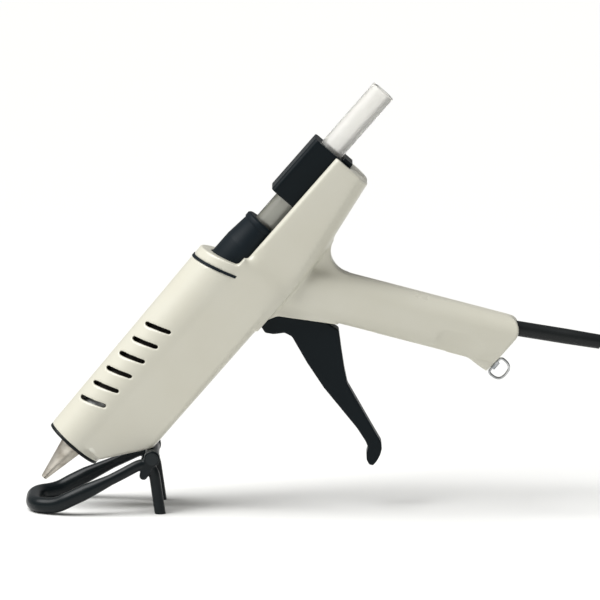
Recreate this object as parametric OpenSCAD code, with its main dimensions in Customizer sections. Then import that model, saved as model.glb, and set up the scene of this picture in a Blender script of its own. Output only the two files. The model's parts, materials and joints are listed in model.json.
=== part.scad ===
// Hot glue applicator: a long-lever glue gun on a folding bench stand.
// The tool frame runs X back along the glue stick from the nozzle tip, Z up away from the trigger,
// Y across with the left side at minus Y. tool() tilts it nose-down onto the stand.

/* [Glue stick and feed] */
// Diameter of the glue stick
stick_d = 15.9; // [11:0.1:18]
// Length of the glue stick left in the tool
stick_len = 174; // [160:1:200]
// Station of the stick's front end, back from the nozzle tip
stick_front = 150; // [125:1:160]
// Length of the feed carriage
carriage_len = 42; // [38:1:46]
// Width of the feed carriage
carriage_w = 26; // [24:0.5:27]
// Height of the carriage above the stick's axis
carriage_top = 13.2; // [12:0.1:16]
// Gap between carriage and inlet sleeve at rest
feed_gap = 20.5; // [14:0.5:26]
// Running gap between sliding faces
run_gap = 0.3; // [0.2:0.05:0.5]
// Gap round a turning pin
pin_gap = 0.06; // [0.03:0.01:0.1]

/* [Barrel] */
// Station of the barrel's front edge
nose_u = 30; // [27:1:34]
// Radius of the barrel at its front edge
nose_r = 18.8; // [18.4:0.1:21]
// Radius of the barrel at its rear face
barrel_rear_r = 22.3; // [21:0.1:25]
// Station of the barrel's slanted rear face on the stick's axis
barrel_rear_u = 183.2; // [180:0.2:187]
// Slant of the rear face and its seal
rear_slant = 18; // [10:1:22]
// Distance from the rear face to the seal groove
seal_back = 7.4; // [6:0.2:9]
// Width of the rear seal
seal_w = 1.8; // [1.2:0.1:2.4]
// Number of vent slots on each side
slot_count = 6; // [3:1:6]
// Distance between vent slots
slot_pitch = 12.4; // [9:0.2:13]
// Width of a vent slot
slot_w = 2.5; // [1.5:0.1:3.5]
// Slant of the vent slots
slot_slant = 24; // [10:1:28]
// Station of the first vent slot on the barrel's side
slot_u = 59; // [56:0.5:62]

/* [Body] */
// Wall thickness of the moulded shells
wall = 2.4; // [2:0.1:2.8]
// Depth of the keel below the stick's axis
keel_depth = 38; // [37.5:0.5:41]
// Station where the keel's sloping front meets its underside
keel_front_u = 62; // [58:1:66]
// Station of the feed trough's rear end
trough_end_u = 275; // [272:0.5:282]
// Half width of the feed trough outside
trough_half_w = 20; // [18.8:0.2:22]
// Drop of the trough's edge below the stick's axis
trough_edge = 4; // [3:0.5:6]
// Depth of the trough's belly at its rear end
tail_depth = 30; // [28.5:0.5:34]

/* [Handle] */
// Angle of the handle below the stick's axis
handle_angle = 63.8; // [61:0.2:67]
// Depth of the handle, front to back
handle_depth = 33.2; // [31:0.2:36]
// Width of the handle
handle_w = 29; // [27:0.5:33]
// Rounding of the handle's section
handle_round = 12.5; // [9:0.5:13]
// Depth of the butt face below the stick's axis
butt_depth = 164; // [158:1:172]

/* [Trigger] */
// Station of the trigger's pivot
pivot_u = 172; // [170:0.5:174]
// Depth of the trigger's pivot below the stick's axis
pivot_depth = 34; // [33.4:0.1:34.4]
// Diameter of the pivot pins
pin_d = 4; // [3:0.1:4.6]
// Swing of the trigger from rest to fully pulled
trigger_swing = 35; // [28:1:35]
// Width of the trigger's lever
trigger_w = 15; // [13:0.5:16]
// Reach of the trigger's tip below its pivot
trigger_reach = 116; // [108:1:117]

/* [Nozzle and melt chamber] */
// Bore of the nozzle's tip
orifice_d = 1.8; // [1:0.1:2.4]
// Diameter of the nozzle's tip
nozzle_tip_d = 3.6; // [3.2:0.1:5]
// Diameter of the nozzle's base
nozzle_base_d = 14.4; // [13:0.1:16]
// Wall of the melt chamber
chamber_wall = 5.6; // [4.6:0.1:5.8]
// Diameter of the heater cartridge
heater_d = 10; // [8:0.1:10.6]
// Length of the heater cartridge
heater_len = 66; // [50:1:68]

/* [Stand] */
// Height of the stand's hinge above the bench
stand_h = 35.3; // [33:0.1:38]
// Forward reach of the stand's front bar from the hinge
stand_reach = 76; // [73:0.5:80]
// Diameter of the stand's rod
rod_d = 7; // [6:0.1:7.6]
// Half spacing of the stand's two sides
stand_half_w = 24.4; // [24:0.2:27]
// Tilt of the stick's axis when the tool stands on the bench
tilt = 49; // [47:0.5:51]

/* [Cord] */
// Diameter of the mains cord
cord_d = 7.2; // [6:0.1:7.4]
// Diameter of the strain relief sleeve
sleeve_d = 9.6; // [9.2:0.1:11]
// Length of the strain relief outside the butt
sleeve_len = 50; // [30:1:60]
// Outer turn radius of the stored coil
coil_r = 51.5; // [48:0.5:58]
// Radial step of the coil from turn to turn
coil_step = 7.9; // [7.9:0.1:9]

/* [Fasteners] */
// Thread diameter of the case screws
screw_d = 3; // [2.5:0.1:3.5]
// Head diameter of the case screws
screw_head_d = 5.6; // [5:0.1:6.2]

/* [Hidden] */
$fn = 64;

shell_white = "#d9d6c6";
soft_black = "#17191b";
dark_grey = "#34373a";
metal_grey = "#a9abad";
brass_tan = "#a98a5c";
stick_grey = "#c9c6bc";

big = 400;
fit = 0.03;
stick_r = stick_d / 2;
bore_r = stick_r + run_gap;
pin_r = pin_d / 2;

// Stations along the feed line
chamber_front = nose_u + 9;
chamber_rear = barrel_rear_u - 5;
sleeve_front = chamber_rear - 7;
carriage_rear = trough_end_u;
carriage_front = carriage_rear - carriage_len;
sleeve_rear = carriage_front - feed_gap;
taper = (barrel_rear_r - nose_r) / (barrel_rear_u - nose_u);
function barrel_r(u) = nose_r + taper * (u - nose_u);

// Feed linkage: the fork leans half the swing back at rest and half the swing forward when pulled
chamber_r = bore_r + chamber_wall;
sleeve_r = chamber_r + 0.65;
floor_drop = sleeve_r + 0.7;
floor_thick = 1.2;
guide_thick = 1.4;
carriage_low = floor_drop - guide_thick - run_gap;
bar_top = -floor_drop - floor_thick - 0.4;
bar_h = 5;
bar_w = 4.2;
drive_v = bar_top - bar_h / 2;
pivot = [pivot_u, 0, -pivot_depth];
arm_rise = drive_v + pivot_depth;
half_swing = trigger_swing / 2;
drive_u = pivot_u + arm_rise * tan(half_swing);
feed_stroke = 2 * arm_rise * tan(half_swing);
foot_front = carriage_front + 6;
foot_rear = foot_front + 24;
foot_w = 9;
channel_half_w = carriage_w / 2 + 1.6;

// Handle axis in the tool frame, and the rounded upper corner of its butt
handle_root = [190.6, 0, -30];
handle_len = (butt_depth - 30) / sin(handle_angle);
function handle_at(along, across, y = 0) = handle_root
    + along * [cos(handle_angle), 0, -sin(handle_angle)]
    + across * [sin(handle_angle), 0, cos(handle_angle)] + [0, y, 0];
function handle_2d(along, across) = [handle_at(along, across)[0], handle_at(along, across)[2]];
function butt_along(across) = (butt_depth - 30 + across * cos(handle_angle)) / sin(handle_angle);
function butt_u(across) = handle_at(butt_along(across), across)[0];
butt_round = 8.5;
butt_centre = [butt_u(handle_depth / 2) - butt_round / tan(handle_angle / 2), butt_round - butt_depth];

// Where the cord leaves the butt
cord_angle = 58.3;
cord_r = cord_d / 2;
cord_exit = [butt_centre[0] + 6, 0, -butt_depth];
cord_out = [cos(cord_angle), 0, -sin(cord_angle)];
function cord_at(along) = cord_exit + along * cord_out;

// The stand's hinge, and the row frame: origin on the bench below the middle of the object
hinge = [keel_front_u - 4.5, 0, -keel_depth - 2.5];
rod_r = rod_d / 2;
butt_x = butt_centre[0] * cos(tilt) - butt_centre[1] * sin(tilt) + butt_round;
front_x = hinge[0] * cos(tilt) - hinge[2] * sin(tilt) - stand_reach - rod_r;
tool_x = -(butt_x + front_x) / 2;
tool_z = stand_h - hinge[0] * sin(tilt) - hinge[2] * cos(tilt);
function turned(d) = [d[0] * cos(tilt) - d[2] * sin(tilt), d[1], d[0] * sin(tilt) + d[2] * cos(tilt)];
function placed(p) = [tool_x, 0, tool_z] + turned(p);

// Transforms
module tool() translate([tool_x, 0, tool_z]) rotate([0, -tilt, 0]) children();
module along_u(u = 0, v = 0) translate([u, 0, v]) rotate([0, 90, 0]) children();
module across_y(w) rotate([90, 0, 0]) linear_extrude(w, center = true) children();
module pin_at(p, r, w) translate(p) rotate([90, 0, 0]) cylinder(r = r, h = w, center = true);
module handle_frame(along = 0, across = 0)
    translate(handle_at(along, across)) rotate([0, 90 + handle_angle, 0]) children();
module cord_frame(along = 0) translate(cord_at(along)) rotate([0, 90 + cord_angle, 0]) children();
module behind(u) translate([u, 0, 0]) rotate([0, -rear_slant, 0])
    translate([0, -big / 2, -big / 2]) cube(big);
module above(v) translate([-big / 2, -big / 2, v]) cube([2 * big, big, big]);
module run_back(from, to) translate([from, 0, 0]) rotate([90, 0, 90]) linear_extrude(to - from) children();
module turned_part() rotate([0, 90, 0]) rotate_extrude() children();

// Swept tubes
function unit(v) = v / norm(v);
function carried(n, t) = unit(n - (n * t) * t);
function tangents(path) = [for (i = [0:len(path) - 1])
    unit(path[min(i + 1, len(path) - 1)] - path[max(i - 1, 0)])];
function normals(t, first) = [for (i = 0, n = carried(first, t[0]); i < len(t);
    i = i + 1, n = i < len(t) ? carried(n, t[i]) : n) n];
// A path whose corners become curves that start the length cut before each corner
function bent(points, cut, steps) = [
    points[0],
    for (i = [1:len(points) - 2])
        let (a = points[i] + cut * unit(points[i - 1] - points[i]))
        let (b = points[i] + cut * unit(points[i + 1] - points[i]))
        for (k = [0:steps]) let (s = k / steps)
            (1 - s) * (1 - s) * a + 2 * s * (1 - s) * points[i] + s * s * b,
    points[len(points) - 1]];
// A smooth path through the given points
function knot(p, i) = p[max(0, min(len(p) - 1, i))];
function smooth(p, steps) = [
    for (i = [0:len(p) - 2]) for (k = [0:steps - 1]) let (s = k / steps)
        0.5 * (2 * p[i] + s * (p[i + 1] - knot(p, i - 1))
            + s * s * (2 * knot(p, i - 1) - 5 * p[i] + 4 * p[i + 1] - knot(p, i + 2))
            + s * s * s * (3 * p[i] - knot(p, i - 1) - 3 * p[i + 1] + knot(p, i + 2))),
    p[len(p) - 1]];
module tube(path, r, sides, first = [0, 1, 0]) {
    t = tangents(path);
    n = normals(t, first);
    last = len(path) - 1;
    points = [for (i = [0:last]) let (b = cross(t[i], n[i]))
        for (k = [0:sides - 1]) let (a = (k + 0.5) * 360 / sides)
            path[i] + r * (cos(a) * n[i] + sin(a) * b)];
    faces = [
        for (i = [0:last - 1]) for (k = [0:sides - 1])
            let (a = i * sides + k)
            let (b = i * sides + (k + 1) % sides)
            each [[a, b + sides, b], [a, a + sides, b + sides]],
        for (k = [1:sides - 2])
            each [[0, k, k + 1], [last * sides, last * sides + k + 1, last * sides + k]]];
    polyhedron(points, faces);
}
// A rectangle with its two lower corners rounded by low and its two upper corners by high
module soft_rect(half_w, bottom, top, low, high) {
    translate([-half_w, bottom + low]) square([2 * half_w, top - high - bottom - low]);
    translate([low - half_w, bottom]) square([2 * (half_w - low), top - high - bottom]);
    translate([high - half_w, bottom + low]) square([2 * (half_w - high), top - bottom - low]);
    for (s = [-1, 1]) {
        translate([s * (half_w - low), bottom + low]) circle(low);
        translate([s * (half_w - high), top - high]) circle(high);
    }
}

// Housing: solid forms of the barrel, keel, trough and handle, shrunk by inset for the hollow inside
keel_slack = 0.4;
belly_u = 222;
belly_depth = keel_depth + 0.5;
belly_slope = atan2(belly_depth - tail_depth, trough_end_u - belly_u);
fillet_r = 15;
fillet_at = [236.5, 0, -52.5];

module barrel_form(inset) difference() {
    along_u(nose_u) cylinder(h = 180, r1 = nose_r - inset, r2 = barrel_r(nose_u + 180) - inset);
    behind(barrel_rear_u - inset);
}
module keel_form(inset) intersection() {
    across_y(100) polygon([
        [nose_u + 4 + inset, -2], [nose_u + 4 + inset, 1.5 + inset - nose_r],
        [keel_front_u + inset, inset - keel_depth], [belly_u - 32, inset - keel_depth], [belly_u - 32, -2]]);
    linear_extrude(big, center = true) polygon([
        [nose_u, inset + keel_slack - barrel_r(nose_u)], [belly_u, inset + keel_slack - barrel_r(belly_u)],
        [belly_u, barrel_r(belly_u) - keel_slack - inset], [nose_u, barrel_r(nose_u) - keel_slack - inset]]);
    run_back(nose_u, belly_u) soft_rect(barrel_rear_r + 1, inset - keel_depth, 20, 10, 4);
}
// The trough's belly is cut level in front and rises to the tail
module trough_form(inset) intersection() {
    translate([pivot_u - 12, -50, inset - belly_depth])
        cube([trough_end_u - inset - pivot_u + 12, 100, belly_depth - inset - trough_edge]);
    run_back(pivot_u - 20, trough_end_u + 20)
        soft_rect(trough_half_w - inset, -belly_depth - 20, -trough_edge, 1, 3.2);
    translate([belly_u, 0, inset - belly_depth]) rotate([0, -belly_slope, 0])
        run_back(-90, 90) soft_rect(trough_half_w + 1, 0, 90, 12, 3.2);
}
module handle_form(inset) intersection() {
    handle_frame() linear_extrude(handle_len + 40) rotate(90)
        soft_rect(handle_w / 2 - inset, inset - handle_depth / 2, handle_depth / 2 - inset,
                  handle_round - inset, handle_round - inset);
    across_y(100) polygon([
        butt_centre + 260 * [-cos(handle_angle + 3), sin(handle_angle + 3)],
        for (i = [0:8]) let (a = 90 - handle_angle - i * (180 - handle_angle) / 8)
            butt_centre + (butt_round - inset) * [cos(a), sin(a)],
        [120, inset - butt_depth], [100, 60]]);
}
// Hook at the butt's lower edge
module butt_form(inset) across_y(20 - 2 * inset) polygon([
    handle_2d(handle_len - 27, 1.2 + inset - handle_depth / 2),
    [butt_u(-handle_depth / 2) - 5.4 + inset, 12 - butt_depth],
    [butt_u(-handle_depth / 2) - 4.2 + inset, inset - butt_depth],
    [butt_u(-2), inset - butt_depth], handle_2d(handle_len - 24, -2)]);
// Web in the corner between trough and handle
module web_form(inset) difference() {
    across_y(16.6 - 2 * inset) polygon([
        [204, -34], [belly_u + 12, -34], [fillet_at[0], fillet_at[2]], handle_2d(41, handle_depth / 2 - 1),
        handle_2d(40, 0)]);
    pin_at(fillet_at, fillet_r + inset, 60);
}
module housing_form(inset) {
    barrel_form(inset);
    keel_form(inset);
    trough_form(inset);
    handle_form(inset);
    butt_form(inset);
    web_form(inset);
}

// Case screws enter from the right: keel, tail and handle
boss_at = [[88, 0, 5.2 - keel_depth], [148, 0, 5.2 - keel_depth],
           [trough_end_u - 6.6, 0, 6.6 - tail_depth], handle_at(54, 8), handle_at(118, -8)];
boss_r = screw_d / 2 + 2.2;
screw_bite = 8;
head_at = 6;
module screw_holes() for (p = boss_at) translate(p) rotate([-90, 0, 0]) {
    translate([0, 0, -screw_bite - 1]) cylinder(d = screw_d + 2 * fit, h = 30);
    translate([0, 0, head_at]) cylinder(d = screw_head_d + 0.6, h = 30);
}

pin_half = trigger_w / 2 + 5;
lever_gap = 0.6;
mouth_half = trigger_w / 2 + lever_gap;
lobe_u = chamber_front + 23;
lobe_end = lobe_u + 70;
lobe_low = bore_r + heater_d + 6;
heater_v = -bore_r - 4 - heater_d / 2;
rib_u = lobe_end + 6;
shelf = [80, 100];
// Bosses, seats and ribs left standing in the hollow
module inner_ribs() {
    for (p = boss_at) pin_at(p, boss_r, 60);
    pin_at(pivot, pin_r + 2, 60);
    translate([rib_u, -30, bar_top - 8]) cube([2.4, 60, 8]);
    handle_frame(shelf[0], -4) translate([0, -30, 0]) cube([2, 60, shelf[1] - shelf[0]]);
    cord_frame(-38) translate([-12, -30, 0]) cube([11.2, 60, 10]);
    translate(loop_at + [0, 0, 3]) cylinder(r = 3.4, h = 8);
}
// Room for the feed linkage below the trough, and the mouth that the lever swings through
module linkage_room() {
    translate([pivot_u - 18, -mouth_half - 0.6, wall - keel_depth])
        cube([belly_u - pivot_u + 24, 2 * mouth_half + 1.2, keel_depth - wall - floor_drop - floor_thick]);
    translate([foot_front - feed_stroke - 2, -foot_w / 2 - 0.6, -floor_drop - 6])
        cube([foot_rear - foot_front + feed_stroke + 3, foot_w + 1.2, 10]);
}
module lever_mouth() across_y(2 * mouth_half) polygon([
    [pivot_u - 14, -keel_depth - 4], [pivot_u - 14, wall + 2 - keel_depth],
    [pivot_u + 9, wall + 2 - keel_depth],
    handle_2d(26, -7), handle_2d(112, -10), handle_2d(109, -24), handle_2d(14, -24)]);
slot_span = 14.4;
slot_deep = 17;
module vent_slots() for (i = [0:slot_count - 1]) for (s = [-1, 1])
    translate([slot_u + i * slot_pitch, s * barrel_rear_r, 9.4]) rotate([0, -slot_slant, 0]) {
        translate([-slot_w / 2, -slot_deep, -slot_span / 2]) cube([slot_w, 2 * slot_deep, slot_span]);
        for (e = [-1, 1]) translate([0, 0, e * slot_span / 2]) rotate([90, 0, 0])
            cylinder(d = slot_w, h = 2 * slot_deep, center = true);
    }
// Slanted band round the top of the barrel, from inner below the surface to outer above it
module seal_band(inner, outer, half) intersection() {
    difference() {
        along_u(nose_u) cylinder(h = 180, r1 = nose_r + outer, r2 = barrel_r(nose_u + 180) + outer);
        along_u(nose_u - 1)
            cylinder(h = 182, r1 = barrel_r(nose_u - 1) - inner, r2 = barrel_r(nose_u + 181) - inner);
        behind(barrel_rear_u - seal_back + half / cos(rear_slant));
    }
    behind(barrel_rear_u - seal_back - half / cos(rear_slant));
    above(-6);
}
module housing() difference() {
    housing_form(0);
    difference() {
        housing_form(wall);
        intersection() {
            behind(barrel_rear_u - wall);
            above(-floor_drop - floor_thick);
        }
        inner_ribs();
    }
    intersection() {
        behind(barrel_rear_u);
        translate([barrel_rear_u - 20, -channel_half_w, -floor_drop]) cube([big, 2 * channel_half_w, big]);
    }
    linkage_room();
    lever_mouth();
    vent_slots();
    screw_holes();
    seal_band(1, 3, seal_w / 2);
    along_u(barrel_rear_u - 20) cylinder(r = sleeve_r + fit, h = 40);
    pin_at(pivot, pin_r, 2 * pin_half);
    cord_frame(-40) cylinder(r = cord_r + fit, h = 40);
    cord_frame(-10) cylinder(d = sleeve_d + 2 * fit, h = 40);
    cord_frame(-15) cylinder(r = flange_r + 0.4, h = 6.6);
    clamp_holes(fit);
    bracket_tongue(fit);
    translate(loop_at) cylinder(r = eye_stem_r + fit, h = 12);
}
module left_shell() color(shell_white) tool() intersection() {
    housing();
    translate([-big / 2, -big, -big]) cube([2 * big, big, 2 * big]);
}
module right_shell() color(shell_white) tool() intersection() {
    housing();
    translate([-big / 2, 0, -big]) cube([2 * big, big, 2 * big]);
}
module case_screws() color(metal_grey) tool() for (p = boss_at) translate(p) rotate([-90, 0, 0]) {
    translate([0, 0, -screw_bite]) cylinder(d = screw_d, h = screw_bite + head_at);
    difference() {
        translate([0, 0, head_at]) cylinder(d = screw_head_d, h = 2.2);
        for (a = [0, 90]) rotate(a) translate([-1.6, -0.4, head_at + 1]) cube([3.2, 0.8, 2]);
    }
}
// Black end disc round the nozzle
module front_plate() color(soft_black) tool() turned_part() polygon([
    [nozzle_base_d / 2 + 0.1, nose_u - 1.9], [nose_r - 0.3, nose_u - 1.9], [nose_r - 0.3, nose_u],
    [nose_r - wall - fit, nose_u], [nose_r - wall - fit, nose_u + 2.6],
    [nozzle_base_d / 2 + 0.1, nose_u + 2.6]]);
module rear_seal() color(soft_black) tool() seal_band(1 - fit, 0.3, seal_w / 2 - fit);

// Melt chamber and nozzle, turned about the stick's axis
spigot_len = 8;
spigot_r = nozzle_base_d / 2 - 1.2;
valve_r = spigot_r - 1.6;
ball_r = valve_r - 0.4;
ball_u = chamber_front + spigot_len - 2.1;
spring_u = nose_u - 6;
module nozzle() color(brass_tan) tool() turned_part() polygon([
    [orifice_d / 2, 0], [nozzle_tip_d / 2, 0],
    [nozzle_base_d / 2, nose_u - 4], [nozzle_base_d / 2, chamber_front],
    [spigot_r, chamber_front], [spigot_r, chamber_front + spigot_len], [valve_r, chamber_front + spigot_len],
    [valve_r, spring_u], [valve_r - 1, spring_u - 1], [orifice_d / 2, 8]]);
module valve_ball() color(metal_grey) tool() along_u(ball_u) sphere(ball_r);
module valve_spring() color(metal_grey) tool() tube(
    [for (i = [0:48]) [spring_u + 0.4 + i * (ball_u - ball_r - spring_u - 1) / 48,
                       (ball_r - 0.5) * cos(i * 45), (ball_r - 0.5) * sin(i * 45)]], 0.35, 6, [1, 0, 0]);
module melt_chamber() color(metal_grey) tool() difference() {
    union() {
        turned_part() polygon([
            [0, chamber_front], [chamber_r, chamber_front], [chamber_r, sleeve_front],
            [chamber_r - 3, sleeve_front], [chamber_r - 3, chamber_rear], [0, chamber_rear]]);
        translate([lobe_u, -heater_d / 2 - 3, -lobe_low]) cube([lobe_end - lobe_u, heater_d + 6, lobe_low]);
    }
    turned_part() polygon([
        [0, chamber_front - 1], [spigot_r + fit, chamber_front - 1],
        [spigot_r + fit, chamber_front + spigot_len], [ball_r - 0.6, chamber_front + spigot_len],
        [ball_r - 0.6, chamber_front + 13], [bore_r, lobe_u], [bore_r, chamber_rear + 1],
        [0, chamber_rear + 1]]);
    along_u(lobe_end - heater_len, heater_v) cylinder(d = heater_d + 2 * fit, h = heater_len + 10);
}
module heater_cartridge() color(metal_grey) tool()
    along_u(lobe_end - heater_len, heater_v) cylinder(d = heater_d, h = heater_len + 2);
module insulation_wrap() color("#b9b4a2") tool() intersection() {
    along_u(lobe_u) difference() {
        cylinder(r = chamber_r + 1.2, h = 80);
        translate([0, 0, -1]) cylinder(r = chamber_r + fit, h = 90);
    }
    above(-2);
}
module support(u, thick, drop) difference() {
    along_u(u) cylinder(r = barrel_r(u) - wall - fit, h = thick);
    along_u(u - 1) cylinder(r = chamber_r + fit, h = thick + 2);
    translate([u - 1, -50, -drop - 100]) cube([thick + 2, 100, 100]);
}
module front_support() color(soft_black) tool() support(chamber_front + 5, 5, 14.6);
module rear_support() color(soft_black) tool() support(rib_u + 14, 5, 14.6);
module inlet_sleeve() color(dark_grey) tool() turned_part() polygon([
    [chamber_r - 3 + fit, sleeve_front], [sleeve_r, sleeve_front], [sleeve_r, sleeve_front + 22],
    [sleeve_r - 1.6, sleeve_rear - 4], [sleeve_r - 0.9, sleeve_rear - 4], [sleeve_r - 0.9, sleeve_rear - 1],
    [sleeve_r - 1.9, sleeve_rear], [bore_r, sleeve_rear], [bore_r, chamber_rear],
    [chamber_r - 3 + fit, chamber_rear]]);
module thermostat() color(soft_black) tool() translate([lobe_u + 38, 0, -lobe_low - 7]) {
    cylinder(d = 14, h = 7 - fit);
    translate([-9, -3, 5]) cube([18, 6, 2 - fit]);
}
module thermal_fuse() color(metal_grey) tool()
    along_u(lobe_u + 52, -lobe_low - 2 - fit) cylinder(r = 2, h = 11);

// Feed: guide, carriage with its grip jaw, and the draw bar that the trigger pulls
guide_front = sleeve_rear + 1;
module feed_guide() color(soft_black) tool() difference() {
    union() {
        translate([guide_front, fit - channel_half_w, fit - floor_drop])
            cube([trough_end_u - guide_front + 0.4, 2 * (channel_half_w - fit), guide_thick - fit]);
        translate([trough_end_u + 0.4, -channel_half_w, -floor_drop + fit])
            cube([2.2, 2 * channel_half_w, floor_drop - trough_edge - 2]);
    }
    translate([foot_front - feed_stroke - 2, -foot_w / 2 - 0.6, -floor_drop - 1])
        cube([foot_rear - foot_front + feed_stroke + 3, foot_w + 1.2, 4]);
    along_u(trough_end_u - 1) cylinder(r = stick_r + 0.8, h = 6);
}
jaw_at = [foot_rear - 5, 0, -carriage_low - 3.2];
jaw_w = 4;
jaw_pin_r = 1.2;
foot_low = drive_v - bar_h / 2;
module carriage() color(soft_black) tool() difference() {
    union() {
        run_back(carriage_front, carriage_rear) soft_rect(carriage_w / 2, -carriage_low, carriage_top, 1, 3);
        translate([foot_front, -foot_w / 2, foot_low])
            cube([foot_rear - foot_front, foot_w, 1 - carriage_low - foot_low]);
    }
    along_u(carriage_front - 1) cylinder(r = bore_r, h = carriage_len + 2);
    translate(jaw_at) across_y(jaw_w + 0.8) polygon([
        [3.6, -3.6], [3.6, 3.6], [-5, 12], [-14, 12], [-14, -7.2]]);
    pin_at(jaw_at, jaw_pin_r, foot_w - 1);
    translate([foot_front - 1, -bar_w / 2 - fit, drive_v - bar_h]) cube([6, bar_w + 2 * fit, 2 * bar_h]);
}
module draw_bar() color(metal_grey) tool() difference() {
    translate([drive_u - 5, -bar_w / 2, foot_low + fit])
        cube([foot_front - drive_u + 10 - fit, bar_w, bar_h - 2 * fit]);
    pin_at([drive_u, 0, drive_v], pin_r, 40);
}
module drive_pin() color(metal_grey) tool() pin_at([drive_u, 0, drive_v], pin_r, 2 * prong_out + 0.6);
module grip_jaw() color(metal_grey) tool() difference() {
    translate(jaw_at) across_y(jaw_w) polygon([
        [3, -2.6], [3, 2.6], [-4.6, -bore_r - jaw_at[2] - 1.6], [-6, -bore_r - jaw_at[2]],
        [-7.5, -bore_r - jaw_at[2] - 1], [-9, -bore_r - jaw_at[2]], [-10.5, -bore_r - jaw_at[2] - 1],
        [-12, -bore_r - jaw_at[2]], [-12, -1.2]]);
    pin_at(jaw_at, jaw_pin_r + pin_gap, 20);
}
module jaw_pin() color(metal_grey) tool() pin_at(jaw_at, jaw_pin_r, foot_w - 1);
module glue_stick() color(stick_grey) tool() along_u(stick_front) cylinder(r = stick_r, h = stick_len);

// Trigger: lever, hub and the fork that draws the feed forward
prong_in = bar_w / 2 + run_gap;
prong_out = prong_in + 3;
prong_reach = arm_rise / cos(half_swing) + 0.8;
function lever(du, part) = [du, -part * trigger_reach];
module trigger() color(soft_black) tool() translate(pivot) difference() {
    union() {
        across_y(trigger_w) polygon([
            lever(-9.4, 0.042), lever(-10.8, 0.085), lever(-7.9, 0.125), lever(-2.8, 0.164),
            lever(-1.6, 0.207), lever(-7.9, 0.362), lever(-13, 0.52), lever(-15.8, 0.658),
            lever(-18.7, 0.8), lever(-21.5, 0.883), lever(-23.4, 0.915), lever(-26.8, 0.928),
            lever(-29.9, 0.953), lever(-31.2, 0.98), lever(-30, 1), lever(-26, 1), lever(-22, 0.992),
            lever(-18.4, 0.977), lever(-15.5, 0.95), lever(-11.4, 0.846), lever(-6.4, 0.725),
            lever(-1.6, 0.606), lever(3.7, 0.545), lever(12, 0.46), lever(20.8, 0.374),
            lever(18, 0.22), lever(9, 0.04), lever(0, 0.02)]);
        rotate([90, 0, 0]) cylinder(r = 6.5, h = trigger_w, center = true);
        for (s = [-1, 1]) translate([0, s * (prong_in + prong_out) / 2, 0]) rotate([0, half_swing, 0])
            across_y(prong_out - prong_in) polygon([
                [-5.5, 0], [5.5, 0], [5.5, prong_reach], [pin_r + 0.25, prong_reach],
                [pin_r + 0.25, arm_rise - pin_r - 0.5], [-pin_r - 0.25, arm_rise - pin_r - 0.5],
                [-pin_r - 0.25, prong_reach], [-5.5, prong_reach]]);
    }
    rotate([90, 0, 0]) cylinder(r = pin_r + pin_gap, h = 60, center = true);
}
module trigger_pin() color(metal_grey) tool() pin_at(pivot, pin_r - fit, 2 * pin_half - 0.2);
spring_turns = 9;
spring_wire_r = 0.4;
spring_r = prong_in - spring_wire_r - 0.5;
module return_spring() color(metal_grey) tool() {
    from = rib_u + 2.4 + 0.5;
    to = drive_u - 5 - 0.8;
    tube([for (i = [0:spring_turns * 8]) [from + i * (to - from) / (spring_turns * 8),
        spring_r * cos(i * 45), drive_v + spring_r * sin(i * 45)]], spring_wire_r, 6, [1, 0, 0]);
}

// Wiring inside the handle
module terminal_block() color("#e8e4d4") tool() handle_frame(shelf[0] + 1, -4) difference() {
    translate([-10 - fit, -8.5, 0]) cube([10, 17, 18]);
    for (s = [-1, 1]) for (z = [5, 13]) translate([-14, s * 4, z]) rotate([0, 90, 0])
        cylinder(r = 1.6, h = 10);
}
module terminal_screws() color(metal_grey) tool() handle_frame(shelf[0] + 1, -4)
    for (s = [-1, 1]) for (z = [5, 13]) translate([-9, s * 4, z]) rotate([0, 90, 0])
        cylinder(r = 1.6 - fit, h = 5 - fit);
wire_lead_r = 1.1;
function wire_path(s) = smooth([
    handle_at(shelf[0] + 1 - fit, 1, s * 4), handle_at(shelf[0] - 4, 1, s * 4), handle_at(66, 4, s * 8.4),
    handle_at(52, 3, s * 10.2), handle_at(30, 3, s * 10.2), handle_at(8, 4, s * 10.6),
    [pivot_u + 8, s * 11.4, -27], [pivot_u - 8, s * 11.4, -26.4], [rib_u + 13, s * 10, -26.2],
    [rib_u + 6, s * 7, -26.8], [rib_u, s * 4, -27.4],
    [rib_u - 2.4, s * 2.6, -26], [rib_u - 2.4, s * 2.4, -22.5], [rib_u - 2.4, s * 2.4, -18.5]], 3);
module heater_leads() color("#7a4a2a") tool() for (s = [-1, 1]) tube(wire_path(s), wire_lead_r, 8);
module clamp_holes(gap) cord_frame(-33) for (s = [-1, 1])
    translate([-7 - gap, s * 6.6, 0]) rotate([0, 90, 0]) cylinder(r = 1.2 + gap, h = 20);
module cord_clamp() color(soft_black) tool() difference() {
    cord_frame(-37) translate([1.2, -9.4, 0]) cube([4.6, 18.8, 8]);
    cord_frame(-60) cylinder(r = cord_r + fit, h = 60);
    clamp_holes(fit);
}
module clamp_screws() color(metal_grey) tool() cord_frame(-33) for (s = [-1, 1]) translate([0, s * 6.6, 0]) {
    translate([-7, 0, 0]) rotate([0, 90, 0]) cylinder(r = 1.2, h = 12.9);
    translate([5.8 + fit, 0, 0]) rotate([0, 90, 0]) cylinder(r = 2.2, h = 1.6);
}

// Cord: sleeve through the butt, hanging lead, stored coil and plug
flange_r = 6.6;
module strain_relief() color(soft_black) tool() cord_frame(-12) difference() {
    union() {
        cylinder(d = sleeve_d, h = 40);
        translate([0, 0, 40]) cylinder(d1 = sleeve_d, d2 = sleeve_d - 0.6, h = sleeve_len - 28);
        cylinder(r = flange_r, h = 2.6);
    }
    translate([0, 0, -1]) cylinder(r = cord_r + fit, h = 120);
}
module cord_inner() color(soft_black) tool() cord_frame(-42) cylinder(r = cord_r, h = sleeve_len + 42);

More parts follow.
